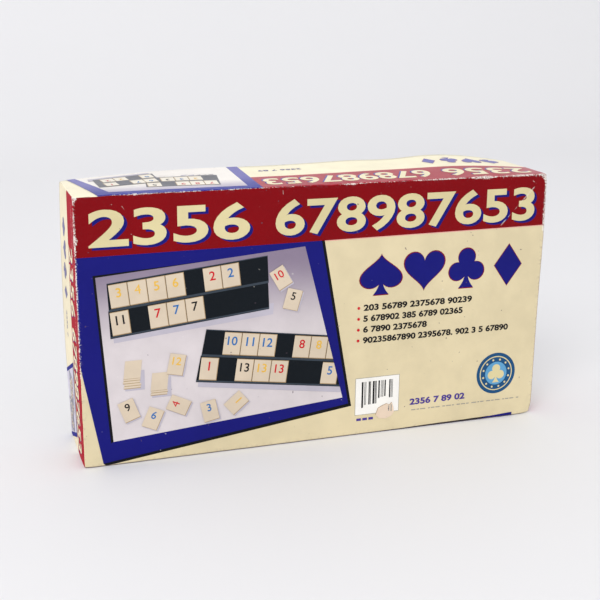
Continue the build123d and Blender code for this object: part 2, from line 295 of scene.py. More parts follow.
def wear_group():
    """Where the print is worn off or dirty: flecks along the folds and the rim, scuffs, specks;
    also a painted contact shadow along the lower front fold.
    """
    tree = bpy.data.node_groups.new("print_wear", "ShaderNodeTree")
    tree.interface.new_socket("Place", in_out="INPUT", socket_type="NodeSocketVector")
    for name in ("Wear", "Tone", "Height", "DirtAndShade"):
        tree.interface.new_socket(name, in_out="OUTPUT", socket_type="NodeSocketFloat")
    net = Net(tree)
    place = tree.nodes.new("NodeGroupInput").outputs[0]
    _, y, z = net.add("SeparateXYZ", {0: place}).outputs
    back = net.minus(y, FRONT * MM)
    fold = fold_gap(net, place, HALF, 0, TOP, FRONT, 1)
    rim = net.minus(RIM * MM, y)
    edge = net.math("MINIMUM", fold, net.plus(rim, 0.0004))

    fine = net.noise(place, 1000.0, 3.0, 0.65)
    patch = net.noise(place, 75.0, 3.0)
    broad = net.noise(place, 16.0, 2.0)

    # level is how much wear there may be; the fine noise breaks it up into flecks
    near = net.times(net.fade(edge, 0.7), net.ramp(patch, 0.35, 0.7, 0.04, 0.40))
    far = net.times(net.fade(edge, 4.0), 0.10)
    level = net.plus(near, far)
    for start, end, reach, strength in WORN_LINES:
        pale_strip = net.fade(segment_gap(net, place, start, end), reach)
        level = net.plus(level, net.times(pale_strip, strength))
    for centre, reach in SCUFFS:
        gap = net.vector("DISTANCE", place, tuple(c * MM for c in centre), out=1)
        hit = net.ramp(gap, 0.0, reach * MM, 0.42, 0.0)
        level = net.plus(level, net.times(hit, patch))
    field = net.plus(net.math("MINIMUM", level, 0.50), net.times(fine, 0.9))
    wear = net.times(net.ramp(field, 0.85, 0.99), 0.92)

    for start, end, width in SCRATCHES:
        wobble = net.times(net.minus(patch, 0.5), 0.0022)
        gap = net.math("ABSOLUTE", net.plus(segment_gap(net, place, start, end), wobble))
        line = net.ramp(gap, width * MM * 0.35, width * MM, 1.0, 0.0)
        line = net.times(line, net.ramp(net.noise(place, 260.0, 2.0), 0.36, 0.5))
        wear = net.math("MAXIMUM", wear, net.times(line, 0.6))

    # specks of bare board, dark dots, rubbed dirt, and a painted contact shadow along the lower
    # front fold
    specks = net.ramp(net.noise(place, 360.0, 1.0), 0.79, 0.81)
    specks = net.times(specks, net.ramp(broad, 0.45, 0.62))
    wear = net.math("MAXIMUM", wear, net.times(specks, 0.35))
    dots = net.ramp(net.noise(net.vector("ADD", place, (0.3, 0.1, 0.7)), 300.0, 1.0), 0.785, 0.81)
    rub = net.times(net.fade(edge, 1.2), net.ramp(net.noise(place, 420.0, 2.0), 0.55, 0.62))
    dirt_and_shade = net.math("MAXIMUM", net.times(dots, 0.7), net.times(rub, 0.45))
    # painted contact shadow: a dark strip along the lower front fold, where the lid stands on the
    # floor
    contact_shade = net.times(net.ramp(z, 0.0003, 0.0014, 0.9, 0.0),
                      net.ramp(back, 0.0008, 0.0020, 1.0, 0.0))
    dirt_and_shade = net.math("MAXIMUM", dirt_and_shade, contact_shade)
    tone = net.plus(net.times(broad, 0.6), net.times(patch, 0.4))
    grain = net.noise(place, 1500.0, 2.0)
    height = net.minus(net.times(grain, 0.12), wear)
    height = net.plus(height, net.times(broad, 0.6))
    out = tree.nodes.new("NodeGroupOutput")
    for i, value in enumerate((wear, tone, height, dirt_and_shade)):
        tree.links.new(value, out.inputs[i])
    return tree


WEAR = wear_group()
CORE = linear("E9E6DE")           # the board's white core under the print
# colour of the dirt, and of the painted contact shadow along the lower front fold
DIRT_AND_SHADE = linear("5A4A58")


def new_material(name):
    material = bpy.data.materials.new(name)
    material.use_nodes = True
    net = Net(material.node_tree)
    surface = next(n for n in material.node_tree.nodes if n.type == "BSDF_PRINCIPLED")
    return material, net, surface


BUMP_DISTANCE = 0.2 * MM


def connect(net, surface, colour, roughness=None, height=None, bump=0.2):
    net.tree.links.new(colour, surface.inputs["Base Color"])
    if roughness is not None:
        net.tree.links.new(roughness, surface.inputs["Roughness"])
    if height is not None:
        node = net.add("Bump", {"Height": height, "Strength": bump, "Distance": BUMP_DISTANCE})
        net.tree.links.new(node.outputs[0], surface.inputs["Normal"])


def printed(name, colour, gloss, fade=None, specular=0.1, fade_axis=2,
            fade_span=(82, 148)):
    """Ink on coated board, worn and dirty where the lid is, and darkened by a painted contact
    shadow along the lower front fold.

    With fade, it blends to that colour along an axis, over a span in mm.
    """
    material, net, surface = new_material(name)
    place = net.place()
    group = net.tree.nodes.new("ShaderNodeGroup")
    group.node_tree = WEAR
    net.tree.links.new(place, group.inputs[0])
    wear, tone, height, dirt_and_shade = group.outputs
    base = net.mix(net.ramp(tone, 0.3, 0.7), shade(colour, 0.93), shade(colour, 1.06))
    if fade:
        along = net.add("SeparateXYZ", {0: place}).outputs[fade_axis]
        base = net.mix(net.ramp(along, fade_span[0] * MM, fade_span[1] * MM), base,
                       net.mix(net.ramp(tone, 0.3, 0.7), shade(fade, 0.95), shade(fade, 1.05)))
    surface.inputs["Specular IOR Level"].default_value = specular
    # bare core where worn; dirt and the painted contact shadow darken it
    base = net.mix(dirt_and_shade, net.mix(wear, base, CORE), DIRT_AND_SHADE)
    connect(net, surface, base, net.ramp(wear, 0.0, 1.0, gloss, 0.85), height, 0.25)
    return material


def board(name, colour, fibre=0.5, folds=None):
    """Uncoated paperboard: short grey fibres and faint clouds.

    With folds, given as for fold_gap, it is the outside of a box: rubbed, stained and creased,
    with painted shade in the creases, soiled along its folds and with a painted highlight on them.
    """
    material, net, surface = new_material(name)
    place = net.place()
    stretched = net.vector("MULTIPLY", place, (1.0, 2.6, 2.6))
    fibres = net.noise(stretched, 900.0, 4.0, 0.7)
    clouds = net.noise(place, 22.0, 3.0)
    specks = net.ramp(net.noise(place, 1300.0, 1.0), 0.70, 0.78)
    base = net.mix(net.ramp(clouds, 0.3, 0.7), shade(colour, 0.93), shade(colour, 1.04))
    dark = net.times(net.ramp(fibres, 0.35, 0.75), fibre * 0.5)
    base = net.mix(dark, base, shade(colour, 0.72))
    base = net.mix(net.times(specks, 0.35), base, shade(colour, 0.45))
    height = fibres
    if folds:
        rubs = net.vector("MULTIPLY", place, (1, 1, 9))
        rubs = net.ramp(net.noise(rubs, 26.0, 5.0, 0.7), 0.56, 0.74)
        # crease lines, drawn darker in colour as painted shade and pressed in by the bump
        lines = net.vector("MULTIPLY", place, (1, 1, 26))
        lines = net.ramp(net.noise(lines, 14.0, 3.0, 0.75), 0.665, 0.70)
        stains = net.ramp(net.noise(place, 9.0, 5.0, 0.62), 0.56, 0.70)
        gap = fold_gap(net, place, *folds)
        soil = net.times(net.fade(gap, 2.2),
                         net.ramp(net.noise(place, 210.0, 4.0, 0.7), 0.36, 0.62))
        # painted highlight: lighter along the folds, broken up by noise
        pale_strip = net.times(net.fade(gap, 0.6), net.ramp(net.noise(place, 120.0, 3.0), 0.42, 0.6))
        base = net.mix(net.times(stains, 0.32), base, shade(colour, 0.66))
        base = net.mix(net.times(rubs, 0.28), base, shade(colour, 1.2))
        base = net.mix(net.times(lines, 0.40), base, shade(colour, 0.6))
        base = net.mix(net.times(soil, 0.62), base, shade(colour, 0.5))
        base = net.mix(net.times(pale_strip, 0.7), base, shade(colour, 1.25))
        height = net.minus(fibres, net.times(lines, 1.5))
    surface.inputs["Specular IOR Level"].default_value = 0.25
    connect(net, surface, base, net.ramp(fibres, 0.2, 0.8, 0.78, 0.92), height, 0.35)
    return material


def plastic(name, colour, rough, grain=1800.0, bump=0.05, scuffs=0.15, specular=0.5):
    """Moulded plastic: fine texture, faint flow clouds, dust and rubbed high spots."""
    material, net, surface = new_material(name)
    place = net.place()
    texture = net.noise(place, grain, 3.0)
    clouds = net.noise(place, 30.0, 3.0)
    rubs = net.vector("MULTIPLY", place, (1, 1, 5))
    rubs = net.ramp(net.noise(rubs, 55.0, 5.0, 0.7), 0.55, 0.78)
    base = net.mix(net.ramp(clouds, 0.3, 0.7), shade(colour, 0.9), shade(colour, 1.08))
    pale = tuple(c + (1 - c) * 0.12 for c in colour[:3]) + (1,)
    base = net.mix(net.times(rubs, scuffs), base, pale)
    surface.inputs["Specular IOR Level"].default_value = specular
    dull = net.ramp(net.plus(clouds, net.times(rubs, 0.5)), 0.3, 1.1, *rough)
    connect(net, surface, base, dull, texture, bump)
    return material


def steel(name):
    material, net, surface = new_material(name)
    drawn = net.noise(net.vector("MULTIPLY", net.place(), (6, 6, 0.6)), 700.0, 2.0)
    surface.inputs["Metallic"].default_value = 1.0
    base = net.mix(drawn, linear("9A9A9E"), linear("C8C8CC"))
    connect(net, surface, base, net.ramp(drawn, 0.2, 0.8, 0.25, 0.42), drawn, 0.05)
    return material


# Inks of the front's print: colour, gloss, and for the picture's ground what it fades up to
INK_CODES = {
    "cream": ("DACCA8", 0.34), "type_cream": ("D6CA9C", 0.34), "red": ("7E020C", 0.3),
    "blue": ("151672", 0.3), "black": ("101014", 0.3), "pink": ("E0A79B", 0.34),
    "violet": ("4A3A8C", 0.34), "grey": ("9E9A90", 0.34), "white": ("EFEDE8", 0.34),
    "torn": ("E2CDB8", 0.5), "ground": ("D4CCCE", 0.34, "887B8F"),
    "ground_wall": ("D5D0DE", 0.34), "shade": ("B9B4C0", 0.34), "rack": ("10161C", 0.28),
    "rack_edge": ("39424C", 0.28), "tile": ("D4C4AE", 0.34), "tile_edge": ("A98F6C", 0.34),
    "n_yellow": ("E3B64E", 0.34), "n_blue": ("2B6DAE", 0.34), "n_red": ("C8202C", 0.34),
    "n_black": ("17171B", 0.34), "teal": ("1F4E79", 0.34), "sky": ("5F9CC6", 0.34),
}
INKS = {ink: printed(f"print_{ink}", linear(code), gloss, *(linear(c) for c in top))
        for ink, (code, gloss, *top) in INK_CODES.items()}

# Inks of the end walls: dull, and most of them paler, partly faded and partly painted sheen for
# the light on those walls
END_CODES = {"cream": "F4E9CB", "type_cream": "EFE5C2", "red": "AE0C28", "blue": "23238A",
             "violet": "8482A8", "rack": "9A99A8", "rack_edge": "B0AFBC", "tile": "EAE0CE",
             "tile_edge": "BFAA88"}
END_INKS = {ink: printed(f"end_print_{ink}", linear(END_CODES.get(ink, code)), 0.55,
                         specular=0.03) for ink, (code, *_) in INK_CODES.items()}

# Inks of the long walls: glossier, and lighter in colour as painted sheen for the glare on the
# upper wall
LONG_SHEEN_CODES = {"cream": "F8F0D0", "type_cream": "F0E6C0", "red": "A80C2A", "rack": "4A4C56",
               "rack_edge": "6A6C76", "tile": "EFE8D8", "tile_edge": "C2A97F"}
LONG_INKS = {ink: printed(f"long_print_{ink}", linear(LONG_SHEEN_CODES.get(ink, code)), gloss,
                          specular=0.4) for ink, (code, gloss, *_) in INK_CODES.items()}
# painted sheen: the blue and the picture's ground turn paler towards the rim
LONG_INKS["blue"] = printed("long_print_blue", linear("101E90"), 0.34, linear("6A68AE"), 0.3, 1,
                            (FRONT + 3, FRONT + 42))
LONG_INKS["ground_wall"] = printed("long_print_picture", linear("B7B0C2"), 0.34, linear("F2EDE6"),
                                   0.4, 1, (FRONT + 6, FRONT + 30))

# ----------------------------------------------------------------------------- flat shapes


def circle(cx, cy, r, steps=40):
    turns = [2 * math.pi * i / steps for i in range(steps)]
    return [(cx + r * math.cos(a), cy + r * math.sin(a)) for a in turns]


def rectangle(x0, y0, x1, y1):
    return [(x0, y0), (x1, y0), (x1, y1), (x0, y1)]


def moved(points, dx, dy, angle=0.0, scale=1.0):
    """Points scaled, turned by an angle in degrees, and shifted."""
    c, s = math.cos(math.radians(angle)) * scale, math.sin(math.radians(angle)) * scale
    return [(dx + x * c - y * s, dy + x * s + y * c) for x, y in points]


def heart():
    """A heart about 1 high, centred."""
    points, steps = [], 48
    for i in range(steps):
        t = 2 * math.pi * i / steps
        x = 16 * math.sin(t) ** 3
        y = 13 * math.cos(t) - 5 * math.cos(2 * t) - 2 * math.cos(3 * t) - math.cos(4 * t)
        points.append((x / 30, (y + 2.5) / 30))
    return points


def stem():
    """The flared foot of a spade or club."""
    side = [(0.04 + 0.16 * (i / 8) ** 2.2, -0.12 - 0.38 * i / 8) for i in range(9)]
    return side + [(-x, y) for x, y in reversed(side)]


def pip(kind):
    """The outlines that make up a card suit's pip, about 1 high."""
    if kind == "heart":
        return [heart()]
    if kind == "diamond":
        return [[(0, 0.52), (-0.37, 0), (0, -0.52), (0.37, 0)]]
    if kind == "spade":
        return [[(x * 1.02, 0.08 - y * 0.86) for x, y in reversed(heart())], stem()]
    return [circle(0, 0.26, 0.23), circle(-0.24, -0.08, 0.23), circle(0.24, -0.08, 0.23),
            circle(0, 0.02, 0.2), stem()]


def star():
    """A five-pointed star that reaches 1 from its middle."""
    points, inner = 5, 0.42
    return [(math.sin(math.pi * i / points) * (inner if i % 2 else 1),
             math.cos(math.pi * i / points) * (inner if i % 2 else 1))
            for i in range(2 * points)]


_type_cache = {}


def type_mesh(body, weight):
    """A line of numerals as flat vertices and faces, 1 high with its lower left corner at 0, 0."""
    key = (body, weight)
    if key not in _type_cache:
        curve = bpy.data.curves.new("type", "FONT")
        curve.body = body
        curve.offset = 0.0 if "4" in body else weight     # a 4 breaks up when made heavier
        curve.resolution_u = 5
        holder = bpy.data.objects.new("type", curve)
        bpy.context.scene.collection.objects.link(holder)
        bpy.context.view_layer.update()
        mesh = bpy.data.meshes.new_from_object(holder)
        xs = [v.co.x for v in mesh.vertices]
        ys = [v.co.y for v in mesh.vertices]
        x0, y0, height = min(xs), min(ys), max(ys) - min(ys)
        points = [((v.co.x - x0) / height, (v.co.y - y0) / height) for v in mesh.vertices]
        _type_cache[key] = (points, [tuple(f.vertices) for f in mesh.polygons],
                            (max(xs) - x0) / height)
        bpy.data.objects.remove(holder)
        bpy.data.curves.remove(curve)
        bpy.data.meshes.remove(mesh)
    return _type_cache[key]


class Sheet:
    """Collects flat shapes by ink, and turns each ink's shapes into one mesh."""
    LAYER = 0.035                 # mm between one printed layer and the next
    CLEAR = 0.04                  # mm more between the lowest layer and the board

    def __init__(self, name, place, cuts=None):
        self.name, self.place, self.cuts, self.meshes = name, place, cuts, {}
        self.clip = None

    def _commit(self, ink, level, flat):
        """Cuts flat to the clip outline and along the face's grid, and lays it in place."""
        if self.clip:
            for (x0, y0), (x1, y1) in zip(self.clip, self.clip[1:] + self.clip[:1]):
                self._cut(flat, (x0, y0), (y1 - y0, x0 - x1), clear=True)
        if self.cuts and flat.verts:
            for axis in (0, 1):
                low = min(v.co[axis] for v in flat.verts)
                high = max(v.co[axis] for v in flat.verts)
                for line in self.cuts[axis]:
                    if low + 1e-4 < line < high - 1e-4:
                        point = (line, 0) if axis == 0 else (0, line)
                        self._cut(flat, point, (1, 0) if axis == 0 else (0, 1))
        target = self.meshes.setdefault(ink, bmesh.new())
        lift = self.CLEAR + level * self.LAYER
        made = {v: target.verts.new(self.place(v.co.x, v.co.y, lift)) for v in flat.verts}
        for face in flat.faces:
            if face.calc_area() > 1e-5:
                target.faces.new([made[v] for v in face.verts])
        flat.free()

    @staticmethod
    def _cut(flat, point, normal, clear=False):
        geometry = flat.verts[:] + flat.edges[:] + flat.faces[:]
        if geometry:
            bmesh.ops.bisect_plane(flat, geom=geometry, dist=1e-5, plane_co=(*point, 0),
                                   plane_no=(*normal, 0), clear_outer=clear)

    def shape(self, ink, level, outline):
        """One outline, filled."""
        flat = bmesh.new()
        face = flat.faces.new([flat.verts.new((x, y, 0)) for x, y in outline])
        face.normal_update()
        if face.normal.z < 0:
            face.normal_flip()
        bmesh.ops.triangulate(flat, faces=[face])
        self._commit(ink, level, flat)

    def type(self, ink, level, body, x, y, height, width, weight, angle=0.0):
        """A line of numerals from its lower left corner, or turned about its middle.

        Without a width it keeps the type's own proportions.
        """
        points, faces, ratio = type_mesh(body, weight)
        stretch = width / (ratio * height) if width else 1.0
        if angle:
            full = ratio * height * stretch
            points = [(px * height * stretch - full / 2, py * height - height / 2)
                      for px, py in points]
            points = moved(points, x, y, angle)
        else:
            points = [(x + px * height * stretch, y + py * height) for px, py in points]
        flat = bmesh.new()
        verts = [flat.verts.new((px, py, 0)) for px, py in points]
        for ids in faces:
            face = flat.faces.new([verts[i] for i in ids])
            face.normal_update()
            if face.normal.z < 0:
                face.normal_flip()
        self._commit(ink, level, flat)

    def finish(self, body, slot_name, materials=INKS):
        """Makes one piece of each ink's shapes, and lets it ride on a body."""
        for ink, mesh in self.meshes.items():
            data = bpy.data.meshes.new(f"{self.name}_{ink}")
            bmesh.ops.remove_doubles(mesh, verts=mesh.verts, dist=1e-7)
            mesh.to_mesh(data)
            mesh.free()
            data.materials.append(materials[ink])
            piece = bpy.data.objects.new(data.name, data)
            bpy.context.scene.collection.objects.link(piece)
            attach(piece, body)


def lid_sheet(face):
    """A sheet whose shapes are wrapped onto one face of the lid."""
    return Sheet(f"lid_{face}", lambda u, v, lift: wrap(face, u, v, lift), GRID[face])


# ----------------------------------------------------------------------------- the print


TITLE_GAP, TITLE_FIRST = 0.055, 0.353     # shares of a title's length
TITLE_WEIGHT = 0.022


def title(sheet, x0, x1, y, height, level=3, shadow=2.2):
    """A row of large numerals in two groups, cream with a blue shadow to the lower right."""
    gap = (x1 - x0) * TITLE_GAP
    first = (x1 - x0 - gap) * TITLE_FIRST
    groups = [("2356", x0, first), ("678987653", x0 + first + gap, x1 - x0 - gap - first)]
    for body, x, width in groups:
        sheet.type("blue", level, body, x + shadow, y - shadow * 0.8, height, width, TITLE_WEIGHT)
        sheet.type("type_cream", level + 1, body, x, y, height, width, TITLE_WEIGHT)


SUITS = ("spade", "heart", "club", "diamond")
PART_STEP = 0.15                  # of a layer, between the parts that make up one pip


def pip_row(sheet, x0, x1, y, height, ink="blue", outline="red"):
    """A row of the four suits between x0 and x1, with their middle at height y."""
    for i, kind in enumerate(SUITS):
        x = x0 + (x1 - x0) * (i + 0.5) / len(SUITS)
        for j, part in enumerate(pip(kind)):
            lift = 2 + PART_STEP * j
            if outline:
                sheet.shape(outline, lift, moved(part, x, y, scale=height * 1.035 + 0.35))
            sheet.shape(ink, lift + 1, moved(part, x, y, scale=height))


TILE_SHAPE = 1.34                 # height of a tile over its width


def tile(sheet, number, colour, x, y, angle, size, level):
    """A loose number tile of the picture, seen from above."""
    h = size * TILE_SHAPE
    outline = rectangle(-size / 2, -h / 2, size / 2, h / 2)
    sheet.shape("shade", level - 1, moved(outline, x + 1.3, y - 1.3, angle))
    sheet.shape("tile_edge", level, moved(outline, x + 0.35, y - 0.45, angle))
    sheet.shape("tile", level + 1, moved(outline, x, y, angle))
    c, s = math.cos(math.radians(angle)), math.sin(math.radians(angle))
    up = h * 0.16
    sheet.type("n_" + colour, level + 2, number, x - s * up, y + c * up, h * 0.38, None, 0.012,
               angle)


def picture_rack(sheet, x, y, angle, length, rows, unit=13.4, level=6):
    """A two-tier rack of the picture: x, y is its lower left corner, rows its tiles by place."""
    def put(points):
        return moved(points, x, y, angle)

    tier, slant = unit * 1.5, 1.2
    sheet.shape("shade", level - 1,
                put([(2, -3.5), (length + 2.5, -4.5), (length + 4, 4), (2, 4)]))
    for row in (1, 0):
        low = row * tier * 0.98
        high = low + tier
        start = row * unit * 0.12
        end = length + start
        sheet.shape("rack", level,
                    put([(start, low), (end, low), (end + slant, high), (start + slant, high)]))
        sheet.shape("rack_edge", level + 1, put(rectangle(start, low + 0.4, end, low + 1.5)))
        sheet.shape("rack_edge", level + 1,
                    put(rectangle(start + slant, high - 0.6, end + slant, high)))
        for place, number, colour in rows[row]:
            left = start + 2 + place * unit
            sheet.shape("tile_edge", level + 1,
                        put(rectangle(left, low + 1.7, left + unit - 0.3, high - 1.2)))
            sheet.shape("tile", level + 2,
                        put(rectangle(left, low + 2.3, left + unit - 0.8, high - 1.6)))
            (nx, ny), = put([(left + unit / 2 - 0.3, low + tier * 0.62)])
            sheet.type("n_" + colour, level + 3, number, nx, ny, unit * 0.5, None, 0.014, angle)


PALE_LINE = 0.6                   # width of the line under a band


def band(sheet, width, height, low, line=0.0, rise=0.0):
    """The red band, whose lower edge rises by rise, over a thin pale line from line onwards."""
    start = low + rise * line / width
    sheet.shape("red", 1, [(0, low), (width, low + rise), (width, height), (0, height)])
    sheet.shape("pink", 1, [(line, start - PALE_LINE), (width, low + rise - PALE_LINE),
                            (width, low + rise), (line, start)])


def label(sheet, x0, y0, x1, y1):
    """A white stock label with plain stripes, torn at its lower right corner."""
    sheet.shape("grey", 2, rectangle(x0 - 0.35, y0 - 0.35, x1 + 0.35, y1 + 0.35))
    sheet.shape("white", 3, rectangle(x0, y0, x1, y1))
    stripes = [(4.9, 1.4, 5.4), (7.2, 0.5, 7.6), (8.2, 0.4, 7.6), (10.6, 1.0, 7.6),
               (11.9, 0.6, 7.6), (14.0, 1.5, 7.8), (15.9, 0.6, 7.8), (16.8, 0.5, 7.8),
               (18.6, 1.2, 12.0), (20.8, 0.4, 12.6), (21.7, 0.4, 12.6), (22.5, 0.4, 12.6),
               (23.7, 1.1, 13.0), (27.6, 1.1, 11.6), (29.2, 0.5, 11.6), (30.2, 0.4, 11.6)]
    for start, width, low in stripes:
        sheet.shape("n_black", 4, rectangle(x0 + start, y0 + low, x0 + start + width, y1 - 3.0))
    torn = [(17.0, -1.6), (19.5, -4.6), (25.5, -5.6), (30.0, -3.8), (32.3, -0.6), (31.6, 3.5),
            (30.4, 7.2), (28.6, 5.4), (26.0, 6.6), (22.2, 5.2), (19.0, 3.6)]
    sheet.shape("tile_edge", 5, [(x0 + x - 0.35, y0 + y + 0.35) for x, y in torn])
    sheet.shape("torn", 6, [(x0 + x, y0 + y) for x, y in torn])
    for start, low, high in ((27.4, 0.5, 5.0), (29.4, 0.0, 5.6)):
        sheet.shape("grey", 7, rectangle(x0 + start, y0 + low, x0 + start + 0.9, y0 + high))


def badge(sheet, x, y, r):
    """A plain roundel with a pip."""
    sheet.shape("teal", 2, circle(x, y, r, 64))
    sheet.shape("type_cream", 3, circle(x, y, r * 0.84, 64))
    sheet.shape("teal", 4, circle(x, y, r * 0.79, 64))
    sheet.shape("sky", 5, circle(x, y, r * 0.56, 48))
    for j, part in enumerate(pip("club")):
        sheet.shape("type_cream", 6 + PART_STEP * j, moved(part, x, y, scale=r * 0.9))
    for i in range(12):
        a = math.radians(30 * i + 15)
        dot = circle(x + r * 0.675 * math.cos(a), y + r * 0.675 * math.sin(a), r * 0.05, 14)
        sheet.shape("type_cream", 6, dot)


def print_front():
    sheet = lid_sheet("front")
    low, rise, frame_end = TOP - 42.0, 2.2, 177.2
    high = low + rise * frame_end / LENGTH
    band(sheet, LENGTH, TOP, low, line=frame_end, rise=rise)
    title(sheet, 9.6, LENGTH - 10, TOP - 35.9, 26.6)

    # the tilted frame, cut by the left edge, with its hard shadow to the lower right
    frame_right, frame_corner, frame_low = (frame_end, high), (200.4, 26.8), (13.6, 2.4)
    sheet.shape("black", 1, [frame_low, (15.5, 0.5), (203.0, 24.5), (179.4, high),
                             frame_right, frame_corner])
    sheet.shape("blue", 2, [(0, low), (0, 78.5), frame_low, frame_corner, frame_right])
    window = [(13.2, 139.6), (21.4, 18.2), (195.6, 32.2), (164.4, 151.8)]
    sheet.shape("black", 3, [(11.4, 141.0), (19.5, 17.2), window[1], window[0], (95.0, 146.2)])
    sheet.clip = window
    sheet.shape("ground", 4, window)
    picture(sheet)
    sheet.clip = None

    pip_row(sheet, 207, 348, 126.5, 31)
    # four lines of small numerals, each after a dot
    lines = [("203 56789 2375678 90239", 90.0), ("5 678902 385 6789 02365", 82.5),
             ("6 7890 2375678", 52.5), ("90235867890 2395678. 902 3 5 67890", 123.0)]
    first_line, line_step = TOP - 97.0, 8.5
    for i, (body, width) in enumerate(lines):
        y = first_line - i * line_step
        sheet.type("n_black", 3, body, 211.2, y, 5.1, width, 0.035)
        sheet.shape("n_red", 3, circle(207.3, y + 2.5, 1.15, 18))
    label(sheet, 206.4, 16.4, 242.2, 45.7)

    # under the label three short bars, and beside it a line over a row of dashes
    for i in range(3):
        sheet.shape("violet", 3, rectangle(207.5 + i * 5.0, 11.4, 211.3 + i * 5.0, 13.4))
    sheet.type("violet", 3, "2356 7 89 02", 251.8, 19.4, 5.4, 47.5, 0.035)
    x = 253.5
    for i in range(22):
        width = (3.6, 2.2, 4.4, 1.6, 3.0)[i % 5]
        if x + width < LENGTH - 12:
            sheet.shape("grey", 2, rectangle(x, 14.9, x + width, 15.7))
        x += width + (0.9, 0.9, 2.4)[i % 3]
    badge(sheet, 326, 38.0, 17.0)

    # the lower wall's print shows over the lower fold
    sheet.shape("black", 1, [(90, 0), (322, 0), (322, 2.2), (298, 1.8), (267, 1.45), (236, 0.9),
                             (206, 0.5), (120, 0.3)])
    sheet.shape("blue", 2, [(306, 0), (342.5, 0), (342.5, 3.2), (338, 3.0), (324, 2.2)])
    sheet.finish("lid", "printed_board")


def tile_stack(sheet, x, y, count, level=8):
    """A pile of tiles of the picture, face up, seen from the front and above."""
    size, deep = 12.0, 13.2
    sheet.shape("shade", level - 1, rectangle(x + 1, y - 1.5, x + size + 3, y + deep))
    step = 1.9                    # from one tile of the pile to the next
    for i in range(count):
        low, left = y + step * i, x + 0.5 * math.sin(2.1 * i)
        sheet.shape("tile_edge", level + 0.2 * i, rectangle(left, low, left + size, low + 0.5))
        sheet.shape("tile", level + 0.2 * i + 0.1,
                    rectangle(left, low + 0.5, left + size, low + step))
    low = y + step * count
    sheet.shape("tile_edge", level + 0.2 * count, rectangle(x, low - 0.3, x + size, low))
    sheet.shape("tile", level + 0.2 * count + 0.1,
                [(x, low), (x + size, low), (x + size + 1.5, low + deep), (x + 1.5, low + deep)])


def picture(sheet):
    """Number tiles in two racks on a pale ground, with a pile and loose tiles beside them."""
    picture_rack(sheet, 22, 95, 6, 116, {
        1: [(0, "3", "yellow"), (1, "4", "yellow"), (2, "5", "yellow"), (3, "6", "yellow"),
            (5, "2", "red"), (6, "2", "blue")],
        0: [(0, "11", "black"), (2, "7", "red"), (3, "7", "blue"), (4, "7", "black")]})
    picture_rack(sheet, 82, 57, -8, 126, {
        1: [(1, "10", "blue"), (2, "11", "blue"), (3, "12", "blue"), (5, "8", "red"),
            (6, "8", "yellow"), (7, "8", "black")],
        0: [(0, "1", "red"), (2, "13", "black"), (3, "13", "yellow"), (4, "13", "red"),
            (7, "5", "blue")]}, level=12)
    tile_stack(sheet, 30, 57, 4)
    tile_stack(sheet, 49, 50, 2, level=9)
    loose = [("9", "black", 33, 41, 20), ("6", "blue", 50, 33, -24), ("4", "red", 69, 41, 64),
             ("12", "yellow", 68, 72, -12), ("3", "blue", 92, 34, 12),
             ("1", "yellow", 112, 38, -50), ("10", "red", 146, 130, 30),
             ("5", "black", 155, 113, -16)]
    for number, colour, x, y, angle in loose:
        tile(sheet, number, colour, x, y, angle, 11.5, level=16)


def print_wall(face):
    """A side wall: band, frame and pips at a smaller scale, reading up to the front fold."""
    sheet = lid_sheet(face)
    width, height = SIZES[face]
    long_wall = width > 300
    low = height * (0.53 if long_wall else 0.58)      # lower edge of the band
    right, left = (width - 13, width - 132.5) if long_wall else (width - 12, width - 70)
    band(sheet, left + 8 if long_wall else width, height, low)
    start, end, rise = (8, left - 6, 0.2) if long_wall else (38, width - 6, 0.06)
    title(sheet, start, end, low + (height - low) * rise, (height - low) * 0.6, shadow=0.9)
    if long_wall:
        top = height
        outer = [(left, top), (left, 0), (right + 8, 0), (right - 4, top)]
        inner = [(left + 9, top - 7), (left + 8.6, 0), (right + 2, 0), (right - 13, top - 9)]
    else:
        top = low - 2.5
        outer = [(left, top), (left + 16, 0), (right + 13, 0), (right, top)]
        inner = [(left + 4, top - 1.5), (left + 19, 0), (right + 9.6, 0), (right - 3.2, top - 1.2)]
    sheet.shape("blue", 6, outer)
    sheet.clip = inner
    sheet.shape("ground_wall", 7, inner)
    scale = top / 67.0
    picture_rack(sheet, left + 22 * scale, 24 * scale, -4, 52 * scale, {
        1: [(0, "7", "red"), (1, "8", "red"), (2, "9", "red"), (4, "5", "black")],
        0: [(1, "3", "yellow"), (2, "3", "blue"), (3, "3", "black")]}, unit=10.0 * scale, level=8)
    picture_rack(sheet, left + 66 * scale, 8 * scale, 6, 44 * scale, {
        1: [(0, "6", "blue"), (1, "7", "blue"), (3, "1", "red")],
        0: [(0, "8", "blue"), (2, "2", "yellow"), (3, "2", "red")]}, unit=9.5 * scale, level=13)
    sheet.clip = None
    ends, size, ink, outline = (14, 86), 15, "blue", "red"
    if not long_wall:
        ends, size, ink, outline = (22, 86), 13, "violet", None
    pip_row(sheet, *ends, low * 0.5, size, ink, outline)
    if long_wall:
        sheet.type("violet", 3, "2356 7 89", 182, low * 0.42, 3.6, 34, 0.02)
    else:
        sheet.type("violet", 3, "2356 7", 92, low * 0.42, 3.4, 20, 0.02)
    sheet.finish("lid", "printed_board", LONG_INKS if long_wall else END_INKS)


# ----------------------------------------------------------------------------- the lid


# Places of the lid's materials: the front's is 0
INNER_SKIN, RAW_EDGE = 1, 2
OUTER_SKINS = {"front": 0, "top": 3, "bottom": 3, "left": 4, "right": 4}


